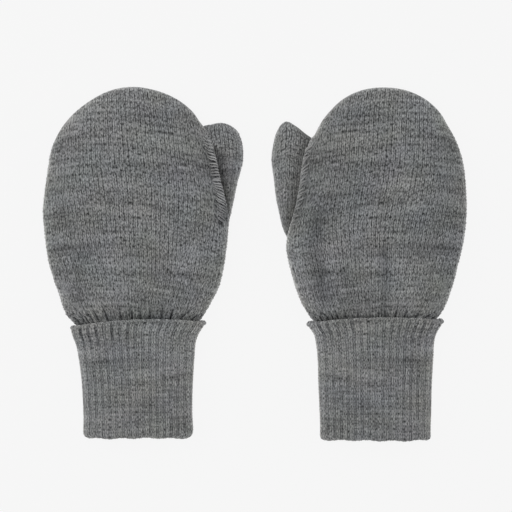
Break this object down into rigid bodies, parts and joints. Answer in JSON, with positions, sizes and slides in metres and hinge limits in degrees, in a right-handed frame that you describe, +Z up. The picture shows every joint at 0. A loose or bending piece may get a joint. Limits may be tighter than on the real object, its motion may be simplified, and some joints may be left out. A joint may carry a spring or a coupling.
{
  "type": "pair of knitted mittens",
  "caption": "Pair of knitted mittens lying flat, backs up: lined jersey hands and thumbs with turned-back rib cuffs.",
  "frame": {"origin": "on the table, at the middle of the pair's footprint", "axes": "+Y towards the fingertips, +X towards the right mitten's little-finger side, +Z up off the table, out of the backs of the hands"},
  "size_m": [0.2171, 0.1799, 0.0152],
  "materials": {
    "jersey_shell": "grey marl plain knit, matte with a little fuzz",
    "rib_knit": "grey marl one by one rib, matte",
    "rib_edge": "grey marl bound-off edge, matte",
    "fleece_lining": "light grey brushed lining, matte",
    "seam_yarn": "grey marl yarn, matte"
  },
  "bodies": {
    "left_hand": {"left_hand_shell": "jersey_shell", "left_hand_lining": "fleece_lining", "left_thumb_seam": "seam_yarn", "left_wrist_seam": "seam_yarn", "left_cuff_inner": "rib_knit"},
    "left_thumb": {"left_thumb_shell": "jersey_shell", "left_thumb_lining": "fleece_lining"},
    "left_cuff": {"left_cuff_turnback": "rib_knit", "left_cuff_edge": "rib_edge"},
    "right_hand": {"right_hand_shell": "jersey_shell", "right_hand_lining": "fleece_lining", "right_thumb_seam": "seam_yarn", "right_wrist_seam": "seam_yarn", "right_cuff_inner": "rib_knit"},
    "right_thumb": {"right_thumb_shell": "jersey_shell", "right_thumb_lining": "fleece_lining"},
    "right_cuff": {"right_cuff_turnback": "rib_knit", "right_cuff_edge": "rib_edge"}
  },
  "joints": [
    {"name": "left_thumb_fold", "type": "hinge", "parent": "left_hand", "child": "left_thumb", "pos_m": [-0.01781, 0.0409, 0.0118], "axis": [0.2588, -0.9659, 0], "range_deg": [0, 90]},
    {"name": "left_cuff_turndown", "type": "slide", "parent": "left_hand", "child": "left_cuff", "axis": [0, -1, 0], "range_m": [0, 0.05]},
    {"name": "right_thumb_fold", "type": "hinge", "parent": "right_hand", "child": "right_thumb", "pos_m": [0.01824, 0.04085, 0.0118], "axis": [0.297, 0.9549, 0], "range_deg": [0, 90]},
    {"name": "right_cuff_turndown", "type": "slide", "parent": "right_hand", "child": "right_cuff", "axis": [0, -1, 0], "range_m": [0, 0.05]},
    {"name": "right_hand_lift", "type": "slide", "parent": "left_hand", "child": "right_hand", "axis": [0, 0, 1], "range_m": [0, 0.08]}
  ]
}
